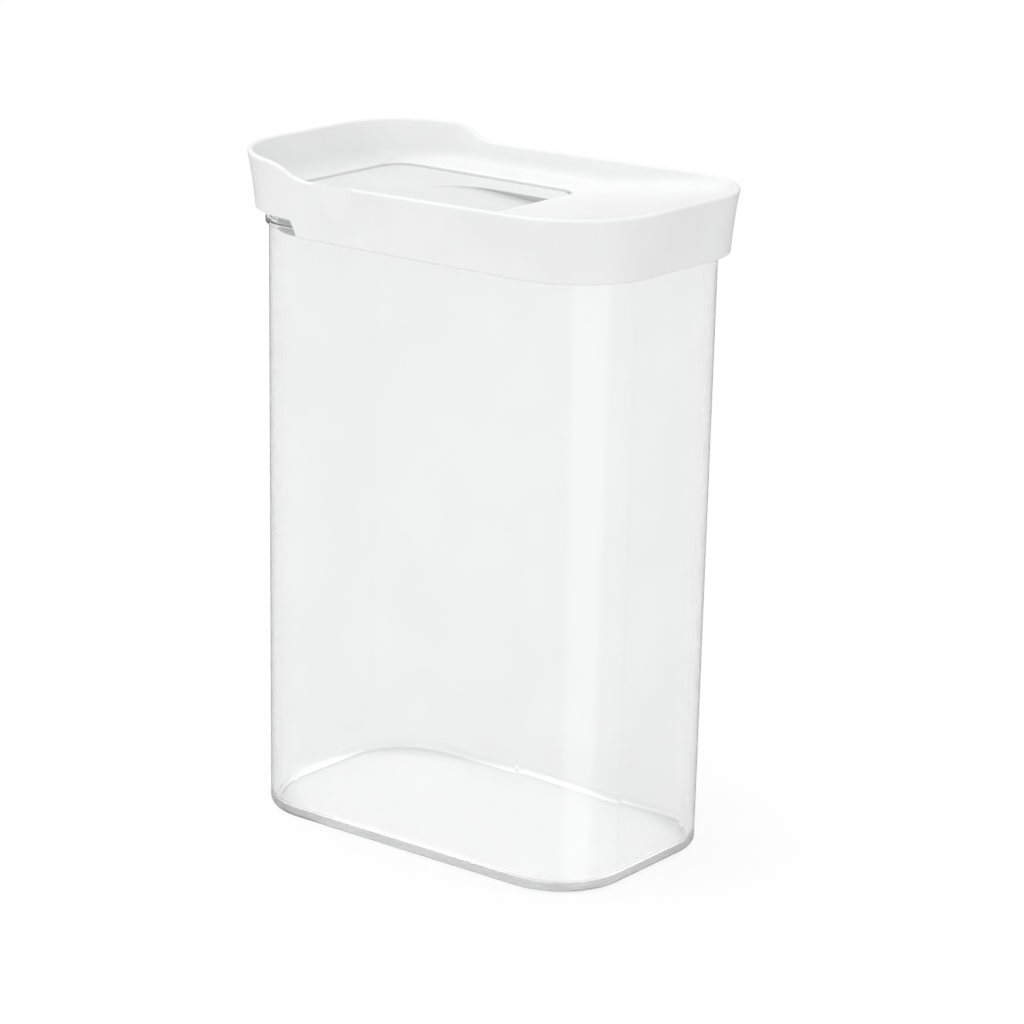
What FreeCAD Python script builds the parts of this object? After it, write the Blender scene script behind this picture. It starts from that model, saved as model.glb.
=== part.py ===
import FreeCAD, Part
import math
import os

import Sketcher
from FreeCAD import Vector

# Driving sizes in millimetres.
# The object stands on z = 0 with its spout towards -x.
SIZES = {
    # Clear container, with its outline measured where the lid's skirt ends
    "body_length": 143.0,
    "body_width": 84.5,
    "corner_radius": 25.0,
    "base_draw_in": 1.0,
    "container_height": 204.4,
    "container_wall": 2.4,
    "container_floor": 2.7,
    "base_edge_radius": 2.4,
    "floor_edge_radius": 2.0,
    "bead_reach": 1.2,
    "bead_height": 1.8,
    "bead_drop": 2.0,
    "bead_round": 0.6,
    "mouth_round": 0.6,
    # White outer shell of the lid
    "cover_wall": 2.2,
    "skirt_gap": 4.0,
    "skirt_drop": 4.4,
    "skirt_round": 0.6,
    "flare_reach": 4.5,
    "flare_margin": 5.0,
    "deck_thickness": 2.2,
    "dish_round": 5.0,
    "ramp_rim_drop": 1.3,
    "ramp_bend": 40.0,
    "side_rim_height": 19.2,
    "rear_rise": 1.7,
    "spout_rise": 5.0,
    "tip_rise": 0.8,
    "spout_flat": 17.5,
    "spout_slope": 18.0,
    "rim_round": 0.8,
    "notch_height": 5.8,
    "notch_reach": 29.2,
    "notch_slope": 2.8,
    "scallop_setback": 45.5,
    "scallop_radius": 27.0,
    "scallop_depth": 1.55,
    # Well in the deck, and the collar that hangs from its edge
    "well_front_margin": 2.9,
    "well_side_margin": 7.0,
    "well_length": 78.9,
    "well_radius": 9.0,
    "well_edge": 0.6,
    "collar_wall": 2.0,
    "collar_height": 2.4,
    "collar_rear_setback": 0.8,
    # White inner shell of the lid
    "plate_thickness": 2.0,
    "plate_overhang": 0.6,
    "plug_clearance": 0.8,
    "plug_wall": 2.4,
    "plug_depth": 5.6,
    "window_front_margin": 6.1,
    "window_side_margin": 5.3,
    "window_length": 49.5,
    "window_radius": 8.0,
    "throat_wall": 1.6,
    "pit_length": 22.0,
    "pit_depth": 7.2,
    "pit_wall": 1.8,
    "pit_floor": 1.0,
    "pit_radius": 2.0,
    # Silicone ring round the plug
    "gasket_height": 2.4,
    "gasket_drop": 0.8,
    "gasket_depth": 1.0,
    "gasket_clearance": 0.3,
    # Play between each silicone ring and the wall that it sits on
    "gasket_ease": 0.02,
    # Flap, its thumb scoop and its hinge
    "flap_recess": 1.2,
    "flap_gap": 0.5,
    "flap_rear_gap": 1.0,
    "flap_thickness": 1.8,
    "flap_rim_wall": 1.5,
    "flap_rest_clearance": 0.4,
    "flap_edge_round": 0.5,
    "scoop_length": 47.0,
    "scoop_half_width": 22.0,
    "scoop_depth": 3.3,
    "scoop_round": 0.6,
    "scoop_wall": 1.2,
    "hinge_setback": 12.3,
    "hinge_drop": 2.2,
    "lug_width": 3.0,
    "lug_radius": 2.8,
    "pin_radius": 1.3,
    "pin_bite": 1.9,
    "pin_chamfer": 0.3,
    "pin_running_clearance": 0.05,
    "pin_seat_clearance": 0.01,
    # Plug under the flap, with its own silicone ring
    "stopper_clearance": 0.4,
    "stopper_rear_ease": 0.4,
    "stopper_ring_thickness": 1.2,
    "stopper_ring_height": 2.2,
    "stopper_ring_proud": 0.5,
    "stopper_lip": 0.8,
    "stopper_wall": 1.4,
    "stopper_floor": 1.4,
    # Every cut runs past the faces that it goes through by this much
    "overrun": 6.0,
    # Edges closer than this to a line count as lying on it
    "edge_slack": 0.01,
}

# The flare starts with this share of its mean slope and gets steeper evenly
FLARE_START_SHARE = 0.36
FLARE_STEPS = 3

SIDES = {"left": -1, "right": 1}

doc = FreeCAD.newDocument("dry_food_container")
sheet = doc.addObject("Spreadsheet::Sheet", "Sizes")
for row, (alias, number) in enumerate(SIZES.items(), start=1):
    sheet.set(f"A{row}", alias)
    sheet.set(f"B{row}", str(number))
    sheet.setAlias(f"B{row}", alias)
doc.recompute()

# Levels of the lid's outer shell, which is drawn taller than its rim and then trimmed
SKIRT_LEVEL = "(Sizes.container_height - Sizes.skirt_drop)"
SIDE_RIM_LEVEL = f"({SKIRT_LEVEL} + Sizes.side_rim_height)"
REAR_RIM_LEVEL = f"({SIDE_RIM_LEVEL} + Sizes.rear_rise)"
SPOUT_LEVEL = f"({SIDE_RIM_LEVEL} + Sizes.spout_rise)"
TIP_LEVEL = f"({SPOUT_LEVEL} + Sizes.tip_rise)"
FLARE_TOP = f"({TIP_LEVEL} + Sizes.flare_margin)"
FLARE_HEIGHT = f"({FLARE_TOP} - {SKIRT_LEVEL})"

# Levels, from the container's mouth upwards
PLATE_BOTTOM = "Sizes.container_height"
PLATE_TOP = f"({PLATE_BOTTOM} + Sizes.plate_thickness)"
DECK_BOTTOM = f"({PLATE_TOP} + Sizes.collar_height)"
DECK_TOP = f"({DECK_BOTTOM} + Sizes.deck_thickness)"
FLAP_TOP = f"({DECK_TOP} - Sizes.flap_recess)"
FLAP_UNDERSIDE = f"({FLAP_TOP} - Sizes.flap_thickness)"
FLAP_RIM_BOTTOM = f"({PLATE_TOP} + Sizes.flap_rest_clearance)"
HINGE_LEVEL = f"({PLATE_TOP} - Sizes.hinge_drop)"
PIT_FLOOR_TOP = f"({PLATE_TOP} - Sizes.pit_depth)"
GASKET_TOP = f"({PLATE_BOTTOM} - Sizes.gasket_drop)"
GASKET_BOTTOM = f"({GASKET_TOP} - Sizes.gasket_height)"
RING_TOP = f"({PLATE_TOP} - Sizes.stopper_lip)"
RING_BOTTOM = f"({RING_TOP} - Sizes.stopper_ring_height)"
STOPPER_BOTTOM = f"({RING_BOTTOM} - Sizes.stopper_lip)"

# Places along x, from the spout end
FRONT = "(-Sizes.body_length / 2)"
REAR = "(Sizes.body_length / 2)"
WELL_FRONT = f"({FRONT} + Sizes.well_front_margin)"
WELL_REAR = f"({WELL_FRONT} + Sizes.well_length)"
WELL_WIDTH = "(Sizes.body_width - 2 * Sizes.well_side_margin)"
FLAP_FRONT = f"({WELL_FRONT} + Sizes.flap_gap)"
FLAP_REAR = f"({WELL_REAR} - Sizes.flap_rear_gap)"
FLAP_LENGTH = f"({FLAP_REAR} - {FLAP_FRONT})"
FLAP_WIDTH = f"({WELL_WIDTH} - 2 * Sizes.flap_gap)"
FLAP_RADIUS = "(Sizes.well_radius - Sizes.flap_gap)"
HINGE_X = f"({FLAP_REAR} - Sizes.hinge_setback)"
WINDOW_FRONT = f"({WELL_FRONT} + Sizes.window_front_margin)"
WINDOW_CENTRE = f"({WINDOW_FRONT} + Sizes.window_length / 2)"
WINDOW_WIDTH = f"({WELL_WIDTH} - 2 * Sizes.window_side_margin)"
STOPPER_CENTRE = f"({WINDOW_CENTRE} - Sizes.stopper_rear_ease / 2)"
PIT_REAR = f"({WELL_REAR} + Sizes.collar_rear_setback)"
PIT_CENTRE = f"({PIT_REAR} - Sizes.pit_length / 2)"


def middle(start, end):
    return f"(({start} + {end}) / 2)"


def value(expression):
    return float(sheet.evalExpression(expression))


def offset_outline(offset):
    """Length, width and corner radius of the container's outline, moved outwards by an offset."""
    return (
        f"(Sizes.body_length + 2 * ({offset}))",
        f"(Sizes.body_width + 2 * ({offset}))",
        f"(Sizes.corner_radius + ({offset}))",
    )


def inset_outline(length, width, radius, inset):
    """Length, width and corner radius of an outline that is moved inwards by an inset."""
    return (f"({length} - 2 * ({inset}))", f"({width} - 2 * ({inset}))", f"({radius} - ({inset}))")


def window_outline(inset):
    return inset_outline("Sizes.window_length", WINDOW_WIDTH, "Sizes.window_radius", inset)


def stopper_outline(inset):
    """Outline inside the window, shorter at the rear, where the stopper swings towards the window."""
    length = "(Sizes.window_length - Sizes.stopper_rear_ease)"
    return inset_outline(length, WINDOW_WIDTH, "Sizes.window_radius", inset)


def flap_outline(inset):
    return inset_outline(FLAP_LENGTH, FLAP_WIDTH, FLAP_RADIUS, inset)


def new_body(name):
    body = doc.addObject("PartDesign::Body", name)
    body.Label = name
    return body


def new_sketch(body, name, plane_role):
    sketch = body.newObject("Sketcher::SketchObject", name)
    plane = next(item for item in body.Origin.OriginFeatures if item.Role == plane_role)
    sketch.AttachmentSupport = [(plane, "")]
    sketch.MapMode = "FlatFace"
    return sketch


def constrain(sketch, expression, *constraint):
    """Add a dimension to a sketch and bind it to an expression."""
    index = sketch.addConstraint(Sketcher.Constraint(*constraint, value(expression)))
    sketch.setExpression(f"Constraints[{index}]", expression)


def add_rounded_rectangle(sketch, length, width, radius):
    """Rounded rectangle about the sketch's origin: four corner arcs and the sides between them."""
    round_radius = value(radius)
    corner_x = value(length) / 2 - round_radius
    corner_y = value(width) / 2 - round_radius
    first = sketch.GeometryCount
    quarter = math.pi / 2
    arcs = []
    for turn, (sign_x, sign_y) in enumerate(((1, 1), (-1, 1), (-1, -1), (1, -1))):
        circle = Part.Circle(Vector(sign_x * corner_x, sign_y * corner_y, 0), Vector(0, 0, 1), round_radius)
        arcs.append(Part.ArcOfCircle(circle, turn * quarter, (turn + 1) * quarter))
    for arc in arcs:
        sketch.addGeometry(arc)
    for turn in range(4):
        sketch.addGeometry(Part.LineSegment(arcs[turn].EndPoint, arcs[(turn + 1) % 4].StartPoint))
    for turn in range(4):
        side = first + 4 + turn
        sketch.addConstraint(Sketcher.Constraint("Tangent", first + turn, 2, side, 1))
        sketch.addConstraint(Sketcher.Constraint("Tangent", side, 2, first + (turn + 1) % 4, 1))
        sketch.addConstraint(Sketcher.Constraint("Vertical" if turn % 2 else "Horizontal", side))
    for turn in range(1, 4):
        sketch.addConstraint(Sketcher.Constraint("Equal", first, first + turn))
    sketch.addConstraint(Sketcher.Constraint("Symmetric", first, 3, first + 2, 3, -1, 1))
    constrain(sketch, radius, "Radius", first)
    constrain(sketch, length, "DistanceX", first + 5, 1, first + 7, 1)
    constrain(sketch, width, "DistanceY", first + 6, 1, first + 4, 1)


def level_sketch(body, name, outlines, level, centre="0"):
    """Level sketch of nested rounded rectangles, each given as length, width and radius."""
    sketch = new_sketch(body, name, "XY_Plane")
    sketch.setExpression("AttachmentOffset.Base.x", centre)
    sketch.setExpression("AttachmentOffset.Base.z", level)
    for outline in outlines:
        add_rounded_rectangle(sketch, *outline)
    return sketch


def side_sketch(body, name, corners):
    """Closed outline in the upright middle plane, through corners given as x and z."""
    sketch = new_sketch(body, name, "XZ_Plane")
    points = [Vector(value(x), value(z), 0) for x, z in corners]
    count = len(points)
    for index in range(count):
        sketch.addGeometry(Part.LineSegment(points[index], points[(index + 1) % count]))
    for index in range(count):
        sketch.addConstraint(Sketcher.Constraint("Coincident", index, 2, (index + 1) % count, 1))
    for index, (x, z) in enumerate(corners):
        constrain(sketch, x, "DistanceX", -1, 1, index, 1)
        constrain(sketch, z, "DistanceY", -1, 1, index, 1)
    return sketch


def pad(body, sketch, height, downwards=False, symmetric=False):
    feature = body.newObject("PartDesign::Pad", f"{sketch.Name}_pad")
    feature.Profile = sketch
    feature.setExpression("Length", height)
    feature.Reversed = downwards
    if symmetric:
        feature.SideType = "Symmetric"
    return feature


def pocket(body, sketch, depth, downwards=False, symmetric=False):
    feature = body.newObject("PartDesign::Pocket", f"{sketch.Name}_pocket")
    feature.Profile = sketch
    feature.setExpression("Length", depth)
    feature.Reversed = not downwards
    if symmetric:
        feature.SideType = "Symmetric"
    return feature


def loft(body, name, sketches, kind="AdditiveLoft", straight=False):
    feature = body.newObject(f"PartDesign::{kind}", name)
    feature.Profile = sketches[0]
    feature.Sections = sketches[1:]
    feature.Ruled = straight
    return feature


def round_edges(body, name, radius, wanted):
    """Fillet the edges of the body's last feature that the wanted test picks."""
    doc.recompute()
    base = body.Tip
    names = [f"Edge{index}" for index, edge in enumerate(base.Shape.Edges, start=1) if wanted(edge)]
    feature = body.newObject("PartDesign::Fillet", name)
    feature.Base = (base, names)
    feature.setExpression("Radius", radius)
    return feature


def at_level(level):
    """Test for edges that lie wholly at a level."""
    height = value(level)
    slack = value("Sizes.edge_slack")

    def test(edge):
        box = edge.BoundBox
        return abs(box.ZMin - height) < slack and abs(box.ZMax - height) < slack

    return test


def on_line(sketch):
    """Test for the long edges that follow a line in the upright middle plane, seen from the side."""
    slack = value("Sizes.edge_slack")
    shortest = value("1.5 * Sizes.cover_wall")

    def test(edge):
        points = [Part.Vertex(point.x, 0, point.z) for point in edge.discretize(5)]
        far = max(sketch.Shape.distToShape(point)[0] for point in points)
        return edge.Length > shortest and far < slack

    return test


def combine(kind, name, first, *others):
    """Part boolean of whole objects: Cut or MultiFuse."""
    result = doc.addObject(f"Part::{kind}", name)
    if kind == "MultiFuse":
        result.Shapes = [first, *others]
    else:
        result.Base = first
        result.Tool = others[0]
    result.Label = name
    return result


def make_container():
    body = new_body("container")
    base = level_sketch(body, "container_base", [offset_outline("-Sizes.base_draw_in")], "0")
    draw_in_at_top = f"(Sizes.base_draw_in * (Sizes.container_height / {SKIRT_LEVEL} - 1))"
    top = level_sketch(body, "container_top", [offset_outline(draw_in_at_top)], "Sizes.container_height")
    loft(body, "container_outside", [top, base], straight=True)
    round_edges(body, "container_base_round", "Sizes.base_edge_radius", at_level("0"))
    bead_top = "(Sizes.container_height - Sizes.bead_drop)"
    bead_inside = "-Sizes.container_wall / 2"
    bead = level_sketch(
        body, "container_bead", [offset_outline("Sizes.bead_reach"), offset_outline(bead_inside)], bead_top
    )
    pad(body, bead, "Sizes.bead_height", downwards=True)
    bead_level_tests = [at_level(bead_top), at_level(f"{bead_top} - Sizes.bead_height")]
    bead_end = value("(Sizes.body_length + Sizes.bead_reach) / 2")
    bead_side = value("(Sizes.body_width + Sizes.bead_reach) / 2")

    def on_bead(edge):
        box = edge.BoundBox
        outer = max(box.XMax, -box.XMin) > bead_end or max(box.YMax, -box.YMin) > bead_side
        return outer and any(test(edge) for test in bead_level_tests)

    round_edges(body, "container_bead_round", "Sizes.bead_round", on_bead)
    floor_draw_in = f"Sizes.base_draw_in * (1 - Sizes.container_floor / {SKIRT_LEVEL})"
    floor_outline = offset_outline(f"(-Sizes.container_wall - {floor_draw_in})")
    hollow_bottom = level_sketch(body, "hollow_bottom", [floor_outline], "Sizes.container_floor")
    hollow_top = level_sketch(
        body,
        "hollow_top",
        [offset_outline(f"({draw_in_at_top} - Sizes.container_wall)")],
        "Sizes.container_height",
    )
    loft(body, "container_hollow", [hollow_top, hollow_bottom], "SubtractiveLoft", straight=True)
    round_edges(body, "container_floor_round", "Sizes.floor_edge_radius", at_level("Sizes.container_floor"))
    round_edges(body, "container_mouth_round", "Sizes.mouth_round", at_level("Sizes.container_height"))
    return body


def flare_offset(level):
    """How far the lid's outer face lies outside the container's outline at a level."""
    share = f"(({level} - {SKIRT_LEVEL}) / {FLARE_HEIGHT})"
    reach_share = f"({share} * ({FLARE_START_SHARE} + (1 - {FLARE_START_SHARE}) * {share}))"
    return f"(Sizes.skirt_gap + Sizes.flare_reach * {reach_share})"


def flared_loft(body, name, inset, bottom=SKIRT_LEVEL):
    """Solid inside the lid's flared wall, or inside a wall set in from it."""
    sketches = []
    for step in range(FLARE_STEPS + 1):
        level = f"({FLARE_TOP} - ({FLARE_TOP} - {bottom}) * {step} / {FLARE_STEPS})"
        outline = offset_outline(f"({flare_offset(level)} - {inset})")
        sketches.append(level_sketch(body, f"{name}_{step}", [outline], level))
    return loft(body, f"{name}_loft", sketches)


def deck_sketch(body, name, drop, other_level):
    """Outline from another level to the deck's line, which bends up into the ramp behind the well."""
    sketch = new_sketch(body, name, "XZ_Plane")
    near = f"({FRONT} - Sizes.skirt_gap - Sizes.overrun)"
    far = f"({REAR} + Sizes.skirt_gap + Sizes.overrun)"
    level = f"({DECK_TOP} - {drop})"
    run = f"({REAR} + Sizes.skirt_gap - {WELL_REAR})"
    rise = f"({REAR_RIM_LEVEL} - Sizes.ramp_rim_drop - {DECK_TOP})"
    far_level = f"({level} + {rise} * (1 + Sizes.overrun / {run}))"
    corners = [(WELL_REAR, level), (near, level), (near, other_level), (far, other_level), (far, far_level)]
    points = [Vector(value(x), value(z), 0) for x, z in corners]
    ramp = len(points) - 1
    arc = len(points)
    bend = value("Sizes.ramp_bend")
    across = points[ramp].x - points[0].x
    down = bend - points[ramp].y + points[0].y
    turn = math.atan2(across, down) - math.acos(bend / math.hypot(across, down))
    circle = Part.Circle(points[0] + Vector(0, bend, 0), Vector(0, 0, 1), bend)
    bottom_angle = 3 * math.pi / 2
    bend_arc = Part.ArcOfCircle(circle, bottom_angle, bottom_angle + turn)
    for index in range(ramp):
        sketch.addGeometry(Part.LineSegment(points[index], points[index + 1]))
    sketch.addGeometry(Part.LineSegment(points[ramp], bend_arc.EndPoint))
    sketch.addGeometry(bend_arc)
    for index in range(ramp):
        sketch.addConstraint(Sketcher.Constraint("Coincident", index, 2, index + 1, 1))
    sketch.addConstraint(Sketcher.Constraint("Tangent", ramp, 2, arc, 2))
    sketch.addConstraint(Sketcher.Constraint("Tangent", arc, 1, 0, 1))
    for index, (x, z) in enumerate(corners):
        constrain(sketch, x, "DistanceX", -1, 1, index, 1)
        constrain(sketch, z, "DistanceY", -1, 1, index, 1)
    constrain(sketch, "Sizes.ramp_bend", "Radius", arc)
    return sketch


def make_dish():
    """Hollow above the deck, with straight sides and a rounded foot all the way round."""
    body = new_body("lid_dish")
    low_offset = flare_offset(DECK_TOP)
    slope = f"(({flare_offset(TIP_LEVEL)} - {low_offset}) / ({TIP_LEVEL} - {DECK_TOP}))"
    sketches = []
    for name, level in (("top", FLARE_TOP), ("bottom", DECK_BOTTOM)):
        offset = f"({low_offset} + {slope} * ({level} - {DECK_TOP}) - Sizes.cover_wall)"
        sketches.append(level_sketch(body, f"dish_{name}", [offset_outline(offset)], level))
    loft(body, "dish_loft", sketches, straight=True)
    deck = deck_sketch(body, "below_deck", "0", f"({SKIRT_LEVEL} - Sizes.overrun)")
    pocket(body, deck, "2 * Sizes.body_width", symmetric=True)
    doc.recompute()
    follows_deck = on_line(deck)
    slack = value("Sizes.edge_slack")

    def on_foot(edge):
        centre = edge.CenterOfGravity
        crosses_deck = abs(centre.y) < slack and value(WELL_FRONT) < centre.x < value(REAR)
        return follows_deck(edge) and not crosses_deck

    round_edges(body, "dish_foot_round", "Sizes.dish_round", on_foot)
    return body


def make_cavity():
    """Hollow of the lid's outer shell, below the deck and the ramp."""
    body = new_body("lid_cavity")
    flared_loft(body, "cavity", "Sizes.cover_wall", f"({SKIRT_LEVEL} - Sizes.overrun)")
    high = f"({FLARE_TOP} + Sizes.overrun)"
    above_deck = deck_sketch(body, "above_deck", "Sizes.deck_thickness", high)
    pocket(body, above_deck, "2 * Sizes.body_width", symmetric=True)
    return body


def rim_line(body):
    """Outline of all that lies above the rim: nearly level sides, an S-shaped rise, the spout's top."""
    sketch = new_sketch(body, "rim_line", "XZ_Plane")
    near = f"({FRONT} - Sizes.skirt_gap - 2 * Sizes.overrun)"
    far = f"({REAR} + Sizes.skirt_gap + 2 * Sizes.overrun)"
    high = f"({FLARE_TOP} + Sizes.overrun)"
    rise_end = (f"({FRONT} + Sizes.spout_flat)", SPOUT_LEVEL)
    rise_start = (f"({rise_end[0]} + Sizes.spout_slope)", SIDE_RIM_LEVEL)
    corners = [
        rise_start,
        (far, REAR_RIM_LEVEL),
        (far, high),
        (near, high),
        (near, TIP_LEVEL),
        rise_end,
    ]
    points = [Vector(value(x), value(z), 0) for x, z in corners]
    lines = len(points) - 1
    upper_arc = lines
    lower_arc = lines + 1
    for index in range(lines):
        sketch.addGeometry(Part.LineSegment(points[index], points[index + 1]))
    run = points[0].x - points[lines].x
    rise = points[lines].y - points[0].y
    bend = (run * run + rise * rise) / (4 * rise)
    sweep = math.asin(run / (2 * bend))
    for centre, end_angle in (
        (points[lines] - Vector(0, bend, 0), math.pi / 2),
        (points[0] + Vector(0, bend, 0), 3 * math.pi / 2),
    ):
        circle = Part.Circle(centre, Vector(0, 0, 1), bend)
        sketch.addGeometry(Part.ArcOfCircle(circle, end_angle - sweep, end_angle))
    for index in range(lines - 1):
        sketch.addConstraint(Sketcher.Constraint("Coincident", index, 2, index + 1, 1))
    sketch.addConstraint(Sketcher.Constraint("Tangent", lines - 1, 2, upper_arc, 2))
    sketch.addConstraint(Sketcher.Constraint("Tangent", upper_arc, 1, lower_arc, 1))
    sketch.addConstraint(Sketcher.Constraint("Tangent", lower_arc, 2, 0, 1))
    for index, (x, z) in enumerate(corners[:lines]):
        constrain(sketch, x, "DistanceX", -1, 1, index, 1)
        constrain(sketch, z, "DistanceY", -1, 1, index, 1)
    constrain(sketch, rise_end[0], "DistanceX", -1, 1, lines - 1, 2)
    constrain(sketch, rise_end[1], "DistanceY", -1, 1, lines - 1, 2)
    constrain(sketch, middle(rise_end[0], rise_start[0]), "DistanceX", -1, 1, upper_arc, 1)
    return sketch


def scallop_column(name, side):
    """Upright column that dents the rim's outer face on one long side."""
    radius = "Sizes.scallop_radius"
    body = new_body(name)
    sketch = new_sketch(body, f"{name}_plan", "XY_Plane")
    sketch.addGeometry(Part.Circle(Vector(0, 0, 0), Vector(0, 0, 1), value(radius)))
    sketch.addConstraint(Sketcher.Constraint("Coincident", 0, 3, -1, 1))
    constrain(sketch, radius, "Radius", 0)
    rim_y = f"(Sizes.body_width / 2 + {flare_offset(SIDE_RIM_LEVEL)})"
    centre_y = f"({rim_y} - Sizes.scallop_depth + {radius})"
    sketch.setExpression("AttachmentOffset.Base.x", f"{FRONT} + Sizes.scallop_setback")
    sketch.setExpression("AttachmentOffset.Base.y", f"{side} * {centre_y}")
    sketch.setExpression("AttachmentOffset.Base.z", SKIRT_LEVEL)
    pad(body, sketch, f"{FLARE_TOP} - {SKIRT_LEVEL}")
    return body


def make_lid_cover():
    outside = new_body("cover_outside")
    flared_loft(outside, "outside", "0")
    round_edges(outside, "skirt_edge_round", "Sizes.skirt_round", at_level(SKIRT_LEVEL))
    shell = combine("Cut", "cover_dished", outside, make_dish())
    shell = combine("Cut", "cover_hollowed", shell, make_cavity())
    trimmed = new_body("cover_trimmed")
    trimmed.BaseFeature = shell
    rim = rim_line(trimmed)
    pocket(trimmed, rim, "2 * Sizes.body_width", symmetric=True)
    round_edges(trimmed, "rim_edge_round", "Sizes.rim_round", on_line(rim))
    shell = trimmed
    for name, side in SIDES.items():
        shell = combine("Cut", f"cover_scalloped_{name}", shell, scallop_column(f"scallop_{name}", side))
    body = new_body("lid_cover")
    body.BaseFeature = shell
    well = ("Sizes.well_length", WELL_WIDTH, "Sizes.well_radius")
    well_centre = middle(WELL_FRONT, WELL_REAR)
    collar_inside = (f"({well[0]} + Sizes.collar_rear_setback)", WELL_WIDTH, "Sizes.well_radius")
    collar_outside = inset_outline(*collar_inside, "-Sizes.collar_wall")
    collar_centre = f"({well_centre} + Sizes.collar_rear_setback / 2)"
    collar = level_sketch(body, "well_collar", [collar_outside, collar_inside], PLATE_TOP, collar_centre)
    pad(body, collar, "Sizes.collar_height + Sizes.deck_thickness / 2")
    opening = level_sketch(body, "well_opening", [well], DECK_TOP, well_centre)
    pocket(body, opening, "Sizes.deck_thickness + Sizes.collar_height / 2", downwards=True)
    edge_sketches = []
    for name, reach in (("top", "Sizes.well_edge"), ("bottom", "-Sizes.well_edge")):
        edge_outline = inset_outline(*well, f"-(Sizes.well_edge + {reach})")
        edge_level = f"{DECK_TOP} + {reach}"
        edge_sketch = level_sketch(body, f"well_edge_{name}", [edge_outline], edge_level, well_centre)
        edge_sketches.append(edge_sketch)
    loft(body, "well_edge", edge_sketches, "SubtractiveLoft", straight=True)
    near = f"({FRONT} - Sizes.skirt_gap - Sizes.overrun)"
    notch_end = f"({FRONT} + Sizes.notch_reach)"
    notch_start = f"({notch_end} - Sizes.notch_slope)"
    notch_top = f"({SKIRT_LEVEL} + Sizes.notch_height)"
    low = f"({SKIRT_LEVEL} - Sizes.overrun)"
    notch_corners = [
        (near, low),
        (notch_end, low),
        (notch_end, SKIRT_LEVEL),
        (notch_start, notch_top),
        (near, notch_top),
    ]
    notch = side_sketch(body, "skirt_notch", notch_corners)
    pocket(body, notch, "2 * Sizes.body_width", symmetric=True)
    return body


def make_lid_base():
    body = new_body("lid_base")
    plate = level_sketch(body, "base_plate", [offset_outline("Sizes.plate_overhang")], PLATE_BOTTOM)
    pad(body, plate, "Sizes.plate_thickness")
    plug_outside = "(-Sizes.container_wall - Sizes.plug_clearance)"
    plug_inside = f"({plug_outside} - Sizes.plug_wall)"
    plug = level_sketch(
        body, "base_plug", [offset_outline(plug_outside), offset_outline(plug_inside)], PLATE_BOTTOM
    )
    pad(body, plug, "Sizes.plug_depth", downwards=True)
    throat = level_sketch(
        body, "base_throat", [window_outline("-Sizes.throat_wall")], PLATE_BOTTOM, WINDOW_CENTRE
    )
    pad(body, throat, "Sizes.plug_depth", downwards=True)
    pit = ("Sizes.pit_length", WELL_WIDTH, "Sizes.pit_radius")
    pit_outside = inset_outline(*pit, "-Sizes.pit_wall")
    pit_block = level_sketch(body, "base_pit_block", [pit_outside], PLATE_BOTTOM, PIT_CENTRE)
    pad(body, pit_block, f"{PLATE_BOTTOM} - {PIT_FLOOR_TOP} + Sizes.pit_floor", downwards=True)
    window = level_sketch(body, "base_window", [window_outline("0")], PLATE_TOP, WINDOW_CENTRE)
    pocket(body, window, "Sizes.plate_thickness + Sizes.plug_depth + Sizes.overrun", downwards=True)
    pit_hollow = level_sketch(body, "base_pit", [pit], PLATE_TOP, PIT_CENTRE)
    pocket(body, pit_hollow, "Sizes.pit_depth", downwards=True)
    groove_inside = f"({plug_outside} - Sizes.gasket_depth)"
    groove = level_sketch(
        body, "base_groove", [offset_outline("0"), offset_outline(groove_inside)], GASKET_TOP
    )
    pocket(body, groove, "Sizes.gasket_height", downwards=True)
    seat = hinge_sketch(body, "base_pin_seat", "Sizes.pin_radius + Sizes.pin_seat_clearance")
    pocket(body, seat, f"{WELL_WIDTH} + 2 * Sizes.pin_bite", symmetric=True)
    return body


def hinge_sketch(body, name, radius, x=HINGE_X, z=HINGE_LEVEL):
    """Circle in the upright middle plane, on the hinge's line unless another place is given."""
    sketch = new_sketch(body, name, "XZ_Plane")
    sketch.addGeometry(Part.Circle(Vector(value(x), value(z), 0), Vector(0, 0, 1), value(radius)))
    constrain(sketch, radius, "Radius", 0)
    constrain(sketch, x, "DistanceX", -1, 1, 0, 3)
    constrain(sketch, z, "DistanceY", -1, 1, 0, 3)
    return sketch


def make_lid_gasket():
    body = new_body("lid_gasket")
    wall = "-Sizes.container_wall"
    outside = offset_outline(f"({wall} - Sizes.gasket_clearance)")
    inside = offset_outline(f"({wall} - Sizes.plug_clearance - Sizes.gasket_depth + Sizes.gasket_ease)")
    ring = level_sketch(body, "gasket_ring", [outside, inside], GASKET_BOTTOM)
    pad(body, ring, "Sizes.gasket_height")
    return body


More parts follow.
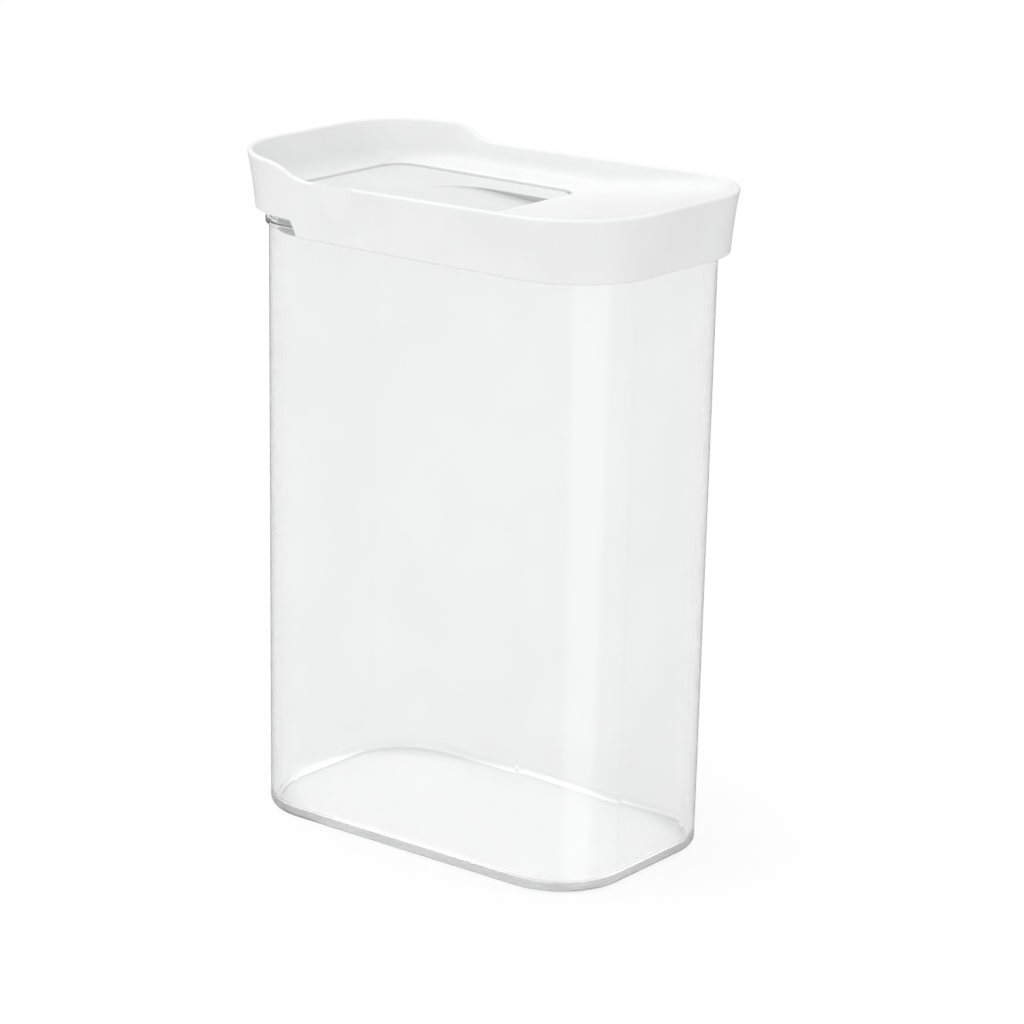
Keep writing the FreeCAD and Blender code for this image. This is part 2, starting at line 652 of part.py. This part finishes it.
def scoop_sketch(body, name, extra, rear, level):
    """Plan of the thumb scoop: a half circle towards the spout, and straight sides to the rear."""
    sketch = new_sketch(body, name, "XY_Plane")
    centre = f"({FLAP_REAR} - Sizes.scoop_length + Sizes.scoop_half_width)"
    radius = f"(Sizes.scoop_half_width + {extra})"
    reach = f"({rear} - {centre})"
    sketch.setExpression("AttachmentOffset.Base.x", centre)
    sketch.setExpression("AttachmentOffset.Base.z", level)
    half = value(radius)
    end = value(reach)
    circle = Part.Circle(Vector(0, 0, 0), Vector(0, 0, 1), half)
    sketch.addGeometry(Part.ArcOfCircle(circle, math.pi / 2, 3 * math.pi / 2))
    sketch.addGeometry(Part.LineSegment(Vector(0, -half, 0), Vector(end, -half, 0)))
    sketch.addGeometry(Part.LineSegment(Vector(end, -half, 0), Vector(end, half, 0)))
    sketch.addGeometry(Part.LineSegment(Vector(end, half, 0), Vector(0, half, 0)))
    sketch.addConstraint(Sketcher.Constraint("Coincident", 0, 3, -1, 1))
    sketch.addConstraint(Sketcher.Constraint("Tangent", 0, 2, 1, 1))
    sketch.addConstraint(Sketcher.Constraint("Coincident", 1, 2, 2, 1))
    sketch.addConstraint(Sketcher.Constraint("Coincident", 2, 2, 3, 1))
    sketch.addConstraint(Sketcher.Constraint("Tangent", 3, 2, 0, 1))
    sketch.addConstraint(Sketcher.Constraint("Horizontal", 1))
    sketch.addConstraint(Sketcher.Constraint("Horizontal", 3))
    sketch.addConstraint(Sketcher.Constraint("Vertical", 2))
    constrain(sketch, radius, "Radius", 0)
    constrain(sketch, reach, "DistanceX", -1, 1, 2, 1)
    return sketch


def scoop_solid(name, extra, drop, rear, top):
    """Solid over the scoop's sloping floor, or over a floor that lies lower by a drop."""
    body = new_body(name)
    low = f"({FLAP_TOP} - 2 * Sizes.scoop_depth - {drop} - Sizes.overrun)"
    plan = scoop_sketch(body, f"{name}_plan", extra, rear, low)
    pad(body, plan, f"{top} - {low}")
    start = f"({FLAP_REAR} - Sizes.scoop_length)"
    near = f"({start} - Sizes.overrun)"
    far = f"({FLAP_REAR} + 2 * Sizes.overrun)"
    slope = "(Sizes.scoop_depth / Sizes.scoop_length)"
    floor_near = f"({FLAP_TOP} - {drop} + {slope} * Sizes.overrun)"
    floor_far = f"({FLAP_TOP} - {drop} - {slope} * ({far} - {start}))"
    bottom = f"({low} - Sizes.overrun)"
    below = side_sketch(
        body, f"{name}_below", [(near, bottom), (far, bottom), (far, floor_far), (near, floor_near)]
    )
    pocket(body, below, "2 * Sizes.body_width", symmetric=True)
    return body


def make_flap_cover(pan):
    body = new_body("flap_shell")
    centre = middle(FLAP_FRONT, FLAP_REAR)
    outline = level_sketch(body, "flap_outline", [flap_outline("0")], FLAP_RIM_BOTTOM, centre)
    pad(body, outline, f"{FLAP_TOP} - {FLAP_RIM_BOTTOM}")
    hollow = level_sketch(
        body, "flap_hollow", [flap_outline("Sizes.flap_rim_wall")], FLAP_RIM_BOTTOM, centre
    )
    pocket(body, hollow, f"{FLAP_UNDERSIDE} - {FLAP_RIM_BOTTOM}")
    lugs = [make_lug(name, side) for name, side in SIDES.items()]
    joined = combine("MultiFuse", "flap_joined", body, pan, *lugs)
    past_rear = f"({FLAP_REAR} + Sizes.overrun)"
    scoop = scoop_solid("scoop", "0", "0", past_rear, f"({FLAP_TOP} + Sizes.overrun)")
    round_edges(scoop, "scoop_floor_round", "Sizes.scoop_round", on_scoop_floor)
    shell = combine("Cut", "flap_scooped", joined, scoop)
    cover = new_body("flap_cover")
    cover.BaseFeature = shell
    bore = hinge_sketch(cover, "flap_bore", "Sizes.pin_radius + Sizes.pin_running_clearance")
    pocket(cover, bore, FLAP_WIDTH, symmetric=True)
    round_edges(cover, "flap_edge_round", "Sizes.flap_edge_round", at_level(FLAP_TOP))
    return cover


def on_scoop_floor(edge):
    """Test for the edges between the scoop's floor and its upright sides."""
    rear = value(FLAP_REAR)
    box = edge.BoundBox
    return box.ZMax < value(f"{FLAP_TOP} + Sizes.scoop_depth") and box.XMin < rear


def make_lug(name, side):
    """Tab under the flap's edge that turns on one hinge pin."""
    body = new_body(f"lug_{name}")
    lug_y = f"(({FLAP_WIDTH} - Sizes.lug_width) / 2)"
    left = f"({HINGE_X} - Sizes.lug_radius)"
    right = f"({HINGE_X} + Sizes.lug_radius)"
    top = f"({FLAP_UNDERSIDE} + Sizes.flap_thickness / 2)"
    web = side_sketch(
        body, f"lug_web_{name}", [(left, HINGE_LEVEL), (right, HINGE_LEVEL), (right, top), (left, top)]
    )
    pad(body, web, "Sizes.lug_width", symmetric=True)
    eye = hinge_sketch(body, f"lug_eye_{name}", "Sizes.lug_radius")
    pad(body, eye, "Sizes.lug_width", symmetric=True)
    body.setExpression("Placement.Base.y", f"{side} * {lug_y}")
    return body


def make_flap_plug(pan):
    body = new_body("flap_stopper")
    core = "Sizes.stopper_clearance + Sizes.stopper_ring_thickness"
    lip = "Sizes.stopper_clearance + Sizes.stopper_ring_proud"
    column = level_sketch(body, "stopper_core", [stopper_outline(core)], STOPPER_BOTTOM, STOPPER_CENTRE)
    pad(body, column, f"{FLAP_UNDERSIDE} - {STOPPER_BOTTOM}")
    for name, level in (("lower", STOPPER_BOTTOM), ("upper", RING_TOP)):
        edge = level_sketch(body, f"stopper_{name}_lip", [stopper_outline(lip)], level, STOPPER_CENTRE)
        pad(body, edge, "Sizes.stopper_lip")
    inside = stopper_outline(f"{core} + Sizes.stopper_wall")
    hollow = level_sketch(body, "stopper_hollow", [inside], FLAP_UNDERSIDE, STOPPER_CENTRE)
    pocket(body, hollow, f"{FLAP_UNDERSIDE} - {STOPPER_BOTTOM} - Sizes.stopper_floor", downwards=True)
    return combine("Cut", "flap_plug", body, pan)


def make_flap_gasket():
    body = new_body("flap_gasket")
    inside = "Sizes.stopper_clearance + Sizes.stopper_ring_thickness - Sizes.gasket_ease"
    outlines = [stopper_outline("Sizes.stopper_clearance"), stopper_outline(inside)]
    ring = level_sketch(body, "flap_gasket_ring", outlines, RING_BOTTOM, STOPPER_CENTRE)
    pad(body, ring, "Sizes.stopper_ring_height")
    return body


def make_hinge_pin(name, side):
    body = new_body(f"hinge_pin_{name}")
    inner_end = f"({FLAP_WIDTH} / 2 - Sizes.lug_width)"
    outer_end = f"({WELL_WIDTH} / 2 + Sizes.pin_bite)"
    section = hinge_sketch(body, f"pin_section_{name}", "Sizes.pin_radius", "0", "0")
    shaft = pad(body, section, f"{outer_end} - {inner_end}", symmetric=True)
    doc.recompute()
    chamfer = body.newObject("PartDesign::Chamfer", f"pin_chamfer_{name}")
    ends = [f"Edge{index}" for index, edge in enumerate(shaft.Shape.Edges, start=1) if edge.Closed]
    chamfer.Base = (shaft, ends)
    chamfer.setExpression("Size", "Sizes.pin_chamfer")
    body.setExpression("Placement.Base.x", HINGE_X)
    body.setExpression("Placement.Base.y", f"{side} * {middle(inner_end, outer_end)}")
    body.setExpression("Placement.Base.z", HINGE_LEVEL)
    return body


pan_top = f"({FLAP_UNDERSIDE} + Sizes.flap_thickness / 2)"
pan = scoop_solid("pan", "Sizes.scoop_wall", "Sizes.scoop_wall", FLAP_REAR, pan_top)
pieces = [
    make_container(),
    make_lid_cover(),
    make_lid_base(),
    make_lid_gasket(),
    make_flap_cover(pan),
    make_flap_plug(pan),
    make_flap_gasket(),
]
for name, side in SIDES.items():
    pieces.append(make_hinge_pin(name, side))
doc.recompute()

for item in doc.Objects:
    if "Invalid" in item.State or "Error" in item.State:
        raise RuntimeError(f"{item.Name} failed: {item.State}")
for piece in pieces:
    if piece.Shape.isNull() or not piece.Shape.isValid():
        raise RuntimeError(f"{piece.Label} has no valid shape")

os.makedirs("parts", exist_ok=True)
for piece in pieces:
    piece.Shape.exportStep(f"parts/{piece.Label}.step")
    box = piece.Shape.BoundBox
    print(piece.Label, len(piece.Shape.Solids), round(piece.Shape.Volume, 1), box)
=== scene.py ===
import math

import bpy
from mathutils import Matrix, Vector

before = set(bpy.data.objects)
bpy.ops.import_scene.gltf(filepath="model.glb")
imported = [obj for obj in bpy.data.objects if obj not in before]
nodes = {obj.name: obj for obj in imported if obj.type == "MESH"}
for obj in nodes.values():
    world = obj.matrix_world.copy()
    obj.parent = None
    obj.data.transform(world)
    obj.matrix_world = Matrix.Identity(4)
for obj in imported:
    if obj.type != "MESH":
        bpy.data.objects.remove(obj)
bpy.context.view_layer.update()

scene = bpy.context.scene

# Camera that was fitted to the photograph's edges
CAMERA_AZIMUTH = math.radians(37.7071)
CAMERA_ELEVATION = math.radians(16.2684)
CAMERA_ROLL = math.radians(1.1841)
CAMERA_DISTANCE = 1.18686
CAMERA_TARGET = Vector((0.01088, 0.0, 0.10948))
CAMERA_SENSOR = 36.0
CAMERA_LENS = 127.74
CAMERA_NEAR = 0.01

# Light levels: 1 is a plain white
BACKDROP_LEVEL = 1.0
AMBIENT_LEVEL = 0.905
SURROUND_LEVEL = 0.22

# How much the ambient light leans towards one side, and that side
LEAN_SHARE = 0.25
LEAN_SIDE = (-0.25, -0.65, 0.72)

# The tall band of light that gloss sees in the world: level, direction, and its soft edge as cosines
SOFTBOX_LEVEL = 1.2
SOFTBOX_AZIMUTH = math.radians(64)
SOFTBOX_EDGE = (0.80, 0.92)

# What gloss sees overhead, on top of the studio round about, and the rise at which it is full
OVERHEAD_LEVEL = 0.45
OVERHEAD_RISE = 0.25

# The square lamp above, in metres and watts
LAMP_PLACE = Vector((-0.6, -0.3, 1.75))
LAMP_TARGET = Vector((0.0, 0.0, 0.2))
LAMP_SIZE = 1.0
LAMP_POWER = 4.5

# Light runs along inside the clear walls, so it needs many bounces there
CLEAR_BOUNCES = 128

# The underside's frosting, by height in metres
FROST_ROUGHNESS = 0.35
FROST_FULL = 0.0002
FROST_END = 0.0012

# Faces closer than this darken a hollow as painted shade, in metres
PAINTED_SHADE_REACH = 0.012

# The parts of the noise's range that colours and roughness spread over
COLOUR_SPREAD = (0.35, 0.65)
ROUGHNESS_SPREAD = (0.3, 0.7)

# The floor, a little below the object so that their faces stay apart
FLOOR_DROP = 0.0004
FLOOR_RADIUS = 8.0
FLOOR_TURNS = 96
FLOOR_GREY = 0.86

# How much of the floor's look is its own glow, which leaves the rest to light and shadow
GLOW_SHARE = 0.68

# The glow's level, and the oval pool of light in it as clear walls show it
FLOOR_LEVEL = 1.07
POOL_SIZE = (0.0695, 0.0403, 1.0)
POOL_EDGE = (1.0, 1.2)
POOL_LEVEL = 1.55
BEYOND_LEVEL = 1.03


def add_node(tree, kind, **settings):
    node = tree.nodes.new(f"ShaderNode{kind}")
    for name, setting in settings.items():
        setattr(node, name, setting)
    return node


def map_range(tree, source, start, end, interpolation="LINEAR"):
    """A number, taken from one range to another."""
    spread = add_node(tree, "MapRange", interpolation_type=interpolation)
    spread.inputs["From Min"].default_value = start[0]
    spread.inputs["From Max"].default_value = start[1]
    spread.inputs["To Min"].default_value = end[0]
    spread.inputs["To Max"].default_value = end[1]
    tree.links.new(source, spread.inputs["Value"])
    return spread.outputs["Result"]


def combine(tree, operation, first, second):
    """Two numbers, put together by a sum or a maximum."""
    node = add_node(tree, "Math", operation=operation)
    tree.links.new(first, node.inputs[0])
    tree.links.new(second, node.inputs[1])
    return node.outputs["Value"]


def facing(tree, direction, side):
    """How far a direction points towards one side, as a cosine."""
    node = add_node(tree, "VectorMath", operation="DOT_PRODUCT")
    node.inputs[1].default_value = side
    tree.links.new(direction, node.inputs[0])
    return node.outputs["Value"]


def height_of(tree, place):
    apart = add_node(tree, "SeparateXYZ")
    tree.links.new(place, apart.inputs["Vector"])
    return apart.outputs["Z"]


def mix_shaders(tree, share, first, second):
    mix = add_node(tree, "MixShader")
    tree.links.new(share, mix.inputs["Fac"])
    tree.links.new(first, mix.inputs[1])
    tree.links.new(second, mix.inputs[2])
    return mix.outputs["Shader"]


def new_material(name):
    material = bpy.data.materials.new(name)
    material.use_nodes = True
    tree = material.node_tree
    return material, tree, tree.nodes["Principled BSDF"]


def add_noise(tree, scale, detail):
    """Noise in the object's own coordinates, in metres."""
    place = add_node(tree, "TexCoord")
    noise = add_node(tree, "TexNoise")
    noise.inputs["Scale"].default_value = scale
    noise.inputs["Detail"].default_value = detail
    tree.links.new(place.outputs["Object"], noise.inputs["Vector"])
    return noise.outputs["Fac"]


def vary_colour(tree, low, high, scale):
    """Blotches between two near colours."""
    ramp = add_node(tree, "ValToRGB")
    for element, position, colour in zip(ramp.color_ramp.elements, COLOUR_SPREAD, (low, high)):
        element.position = position
        element.color = (*colour, 1)
    tree.links.new(add_noise(tree, scale, detail=3), ramp.inputs["Fac"])
    return ramp.outputs["Color"]


def vary_roughness(tree, low, high, scale):
    """A roughness that wanders between two numbers."""
    return map_range(tree, add_noise(tree, scale, detail=4), ROUGHNESS_SPREAD, (low, high))


def paint_hollow_shade(tree, colour, share):
    """A colour that darkens by a share where other faces of the same piece stand close by: painted shade
    in hollows.
    """
    near = add_node(tree, "AmbientOcclusion", only_local=True)
    near.inputs["Distance"].default_value = PAINTED_SHADE_REACH
    keep = map_range(tree, near.outputs["AO"], (0.0, 1.0), (1 - share, 1.0))
    shaded = add_node(tree, "VectorMath", operation="SCALE")
    tree.links.new(colour, shaded.inputs[0])
    tree.links.new(keep, shaded.inputs["Scale"])
    return shaded.outputs["Vector"]


def frost_underside(tree, polish):
    """A roughness, with frosting on the face that the object stands on."""
    place = add_node(tree, "TexCoord")
    height = height_of(tree, place.outputs["Object"])
    frosting = map_range(tree, height, (FROST_FULL, FROST_END), (FROST_ROUGHNESS, 0.0))
    return combine(tree, "MAXIMUM", frosting, polish)


def add_bump(tree, shader, scale, detail, strength, depth):
    bump = add_node(tree, "Bump")
    bump.inputs["Strength"].default_value = strength
    bump.inputs["Distance"].default_value = depth
    tree.links.new(add_noise(tree, scale, detail), bump.inputs["Height"])
    tree.links.new(bump.outputs["Normal"], shader.inputs["Normal"])


def clear_plastic(name):
    """Clear moulding: a faint grey tint, a trace of haze and slight flow waves."""
    material, tree, shader = new_material(name)
    colour = vary_colour(tree, low=(0.947, 0.948, 0.949), high=(0.961, 0.962, 0.963), scale=30)
    tree.links.new(colour, shader.inputs["Base Color"])
    polish = vary_roughness(tree, low=0.004, high=0.02, scale=60)
    tree.links.new(frost_underside(tree, polish), shader.inputs["Roughness"])
    add_bump(tree, shader, scale=14, detail=1, strength=0.008, depth=0.0001)
    shader.inputs["IOR"].default_value = 1.54
    shader.inputs["Transmission Weight"].default_value = 0.985
    tint = add_node(tree, "VolumeAbsorption")
    tint.inputs["Color"].default_value = (0.2, 0.21, 0.25, 1)
    tint.inputs["Density"].default_value = 0.8
    tree.links.new(tint.outputs["Volume"], tree.nodes["Material Output"].inputs["Volume"])
    return material


def moulded_plastic(name, low, high, roughness, painted_shade_share):
    """White moulding with a satin skin: faint blotches, uneven gloss, a fine grain and painted shade in
    its hollows.
    """
    material, tree, shader = new_material(name)
    # Painted shade: the colour darkens where the piece's own faces stand close, as in its hollows
    colour = paint_hollow_shade(tree, vary_colour(tree, low, high, scale=45), painted_shade_share)
    tree.links.new(colour, shader.inputs["Base Color"])
    gloss = vary_roughness(tree, *roughness, scale=160)
    tree.links.new(gloss, shader.inputs["Roughness"])
    add_bump(tree, shader, scale=2600, detail=2, strength=0.12, depth=0.00002)
    shader.inputs["IOR"].default_value = 1.49
    return material


def silicone(name):
    """Milky soft ring with a dull, slightly mottled skin."""
    material, tree, shader = new_material(name)
    colour = vary_colour(tree, low=(0.84, 0.85, 0.86), high=(0.88, 0.89, 0.90), scale=220)
    tree.links.new(colour, shader.inputs["Base Color"])
    gloss = vary_roughness(tree, low=0.42, high=0.58, scale=400)
    tree.links.new(gloss, shader.inputs["Roughness"])
    add_bump(tree, shader, scale=3200, detail=3, strength=0.2, depth=0.00003)
    shader.inputs["Subsurface Weight"].default_value = 0.15
    shader.inputs["Subsurface Scale"].default_value = 0.002
    shader.inputs["IOR"].default_value = 1.41
    return material


def dress(material, *names):
    for name in names:
        slots = nodes[name].data.materials
        slots.clear()
        slots.append(material)


def dress_nodes():
    dress(clear_plastic("clear_plastic"), "container")
    # Clear walls let the light through to what stands behind them
    nodes["container"].visible_shadow = False
    # The lid's hollows get a light painted shade
    lid_plastic = moulded_plastic(
        "lid_plastic",
        low=(0.86, 0.861, 0.863),
        high=(0.884, 0.885, 0.887),
        roughness=(0.30, 0.42),
        painted_shade_share=0.12,
    )
    dress(lid_plastic, "lid_cover")
    # Painted shade: the flap is the lid's white plastic, coloured darker to stand in for the shade on it,
    # with strong painted shade in its hollows
    flap_plastic = moulded_plastic(
        "flap_plastic",
        low=(0.76, 0.762, 0.766),
        high=(0.785, 0.787, 0.79),
        roughness=(0.34, 0.46),
        painted_shade_share=0.75,
    )
    dress(flap_plastic, "flap_cover")
    inner_plastic = moulded_plastic(
        "inner_plastic",
        low=(0.88, 0.882, 0.884),
        high=(0.90, 0.902, 0.904),
        roughness=(0.38, 0.5),
        painted_shade_share=0.0,
    )
    dress(inner_plastic, "lid_base", "flap_plug")
    dress(silicone("silicone"), "lid_gasket", "flap_gasket")
    pin_plastic = moulded_plastic(
        "pin_plastic",
        low=(0.80, 0.80, 0.79),
        high=(0.84, 0.84, 0.83),
        roughness=(0.25, 0.35),
        painted_shade_share=0.0,
    )
    dress(pin_plastic, "hinge_pin_left", "hinge_pin_right")


def floor_glow(tree, path):
    """The floor's own light: even as seen directly, and with an oval pool as seen through clear walls."""
    place = add_node(tree, "TexCoord")
    shrink = add_node(tree, "VectorMath", operation="DIVIDE")
    shrink.inputs[1].default_value = POOL_SIZE
    tree.links.new(place.outputs["Object"], shrink.inputs[0])
    reach = add_node(tree, "VectorMath", operation="LENGTH")
    tree.links.new(shrink.outputs["Vector"], reach.inputs[0])
    pool = map_range(tree, reach.outputs["Value"], POOL_EDGE, (POOL_LEVEL, BEYOND_LEVEL), "SMOOTHSTEP")
    level = add_node(tree, "Mix", data_type="FLOAT")
    tree.links.new(path.outputs["Is Camera Ray"], level.inputs["Factor"])
    tree.links.new(pool, level.inputs["A"])
    level.inputs["B"].default_value = FLOOR_LEVEL
    glow = add_node(tree, "Emission")
    tree.links.new(level.outputs["Result"], glow.inputs["Strength"])
    return glow.outputs["Emission"]


def seen_rays(tree, path):
    """1 for rays that come straight from the camera or through clear walls, else 0."""
    return combine(tree, "MAXIMUM", path.outputs["Is Camera Ray"], path.outputs["Is Transmission Ray"])


def floor_material():
    material, tree, shader = new_material("floor")
    tree.nodes.remove(shader)
    diffuse = add_node(tree, "BsdfDiffuse")
    diffuse.inputs["Color"].default_value = (FLOOR_GREY, FLOOR_GREY, FLOOR_GREY, 1)
    path = add_node(tree, "LightPath")
    share = map_range(tree, seen_rays(tree, path), (0.0, 1.0), (0.0, GLOW_SHARE))
    mixed = mix_shaders(tree, share, diffuse.outputs["BSDF"], floor_glow(tree, path))
    tree.links.new(mixed, tree.nodes["Material Output"].inputs["Surface"])
    return material


def make_floor():
    """Pale floor. What sees it directly, or through clear walls, sees it near white with its shadow."""
    ring = []
    for turn in range(FLOOR_TURNS):
        angle = 2 * math.pi * turn / FLOOR_TURNS
        ring.append((FLOOR_RADIUS * math.cos(angle), FLOOR_RADIUS * math.sin(angle), -FLOOR_DROP))
    mesh = bpy.data.meshes.new("floor")
    mesh.from_pydata(ring, [], [list(range(FLOOR_TURNS))])
    mesh.materials.append(floor_material())
    floor = bpy.data.objects.new("floor", mesh)
    scene.collection.objects.link(floor)
    floor.visible_glossy = False


def make_world():
    """White backdrop; gloss sees a dimmer studio with a soft box, and diffuse light leans to a side."""
    world = bpy.data.worlds.new("studio")
    scene.world = world
    world.use_nodes = True
    tree = world.node_tree
    tree.nodes.clear()
    output = add_node(tree, "OutputWorld")
    path = add_node(tree, "LightPath")
    direction = add_node(tree, "TexCoord").outputs["Generated"]

    def background():
        node = add_node(tree, "Background")
        node.inputs["Color"].default_value = (1, 1, 1, 1)
        return node

    backdrop = background()
    backdrop.inputs["Strength"].default_value = BACKDROP_LEVEL
    ambient = background()
    lean_levels = (AMBIENT_LEVEL * (1 - LEAN_SHARE), AMBIENT_LEVEL * (1 + LEAN_SHARE))
    lean = map_range(tree, facing(tree, direction, LEAN_SIDE), (-1.0, 1.0), lean_levels)
    tree.links.new(lean, ambient.inputs["Strength"])
    surround = background()
    softbox_side = (math.sin(SOFTBOX_AZIMUTH), -math.cos(SOFTBOX_AZIMUTH), 0)
    softbox_levels = (SURROUND_LEVEL, SOFTBOX_LEVEL)
    towards_softbox = facing(tree, direction, softbox_side)
    softbox = map_range(tree, towards_softbox, SOFTBOX_EDGE, softbox_levels, "SMOOTHSTEP")
    upwards = height_of(tree, direction)
    overhead = map_range(tree, upwards, (0.0, OVERHEAD_RISE), (0.0, OVERHEAD_LEVEL), "SMOOTHSTEP")
    tree.links.new(combine(tree, "ADD", softbox, overhead), surround.inputs["Strength"])
    lighting = mix_shaders(
        tree, path.outputs["Is Glossy Ray"], ambient.outputs["Background"], surround.outputs["Background"]
    )
    shown = mix_shaders(tree, seen_rays(tree, path), lighting, backdrop.outputs["Background"])
    tree.links.new(shown, output.inputs["Surface"])


def add_lamp():
    light = bpy.data.lights.new("softbox", "AREA")
    light.shape = "SQUARE"
    light.size = LAMP_SIZE
    light.energy = LAMP_POWER
    lamp = bpy.data.objects.new("softbox", light)
    scene.collection.objects.link(lamp)
    turn = (LAMP_TARGET - LAMP_PLACE).to_track_quat("-Z", "Y").to_matrix().to_4x4()
    lamp.matrix_world = Matrix.Translation(LAMP_PLACE) @ turn


def make_camera():
    level_reach = math.cos(CAMERA_ELEVATION)
    back = Vector(
        (
            math.sin(CAMERA_AZIMUTH) * level_reach,
            -math.cos(CAMERA_AZIMUTH) * level_reach,
            math.sin(CAMERA_ELEVATION),
        )
    )
    right = Vector((math.cos(CAMERA_AZIMUTH), math.sin(CAMERA_AZIMUTH), 0))
    up = back.cross(right)
    rolled_right = right * math.cos(CAMERA_ROLL) + up * math.sin(CAMERA_ROLL)
    rolled_up = up * math.cos(CAMERA_ROLL) - right * math.sin(CAMERA_ROLL)
    data = bpy.data.cameras.new("camera")
    data.sensor_width = CAMERA_SENSOR
    data.sensor_fit = "HORIZONTAL"
    data.lens = CAMERA_LENS
    data.clip_start = CAMERA_NEAR
    camera = bpy.data.objects.new("camera", data)
    scene.collection.objects.link(camera)
    turn = Matrix((rolled_right, rolled_up, back)).transposed().to_4x4()
    camera.matrix_world = Matrix.Translation(CAMERA_TARGET + back * CAMERA_DISTANCE) @ turn
    scene.camera = camera


dress_nodes()
make_floor()
make_world()
add_lamp()
make_camera()
scene.view_settings.view_transform = "Standard"
scene.cycles.max_bounces = CLEAR_BOUNCES
scene.cycles.glossy_bounces = CLEAR_BOUNCES
scene.cycles.transmission_bounces = CLEAR_BOUNCES
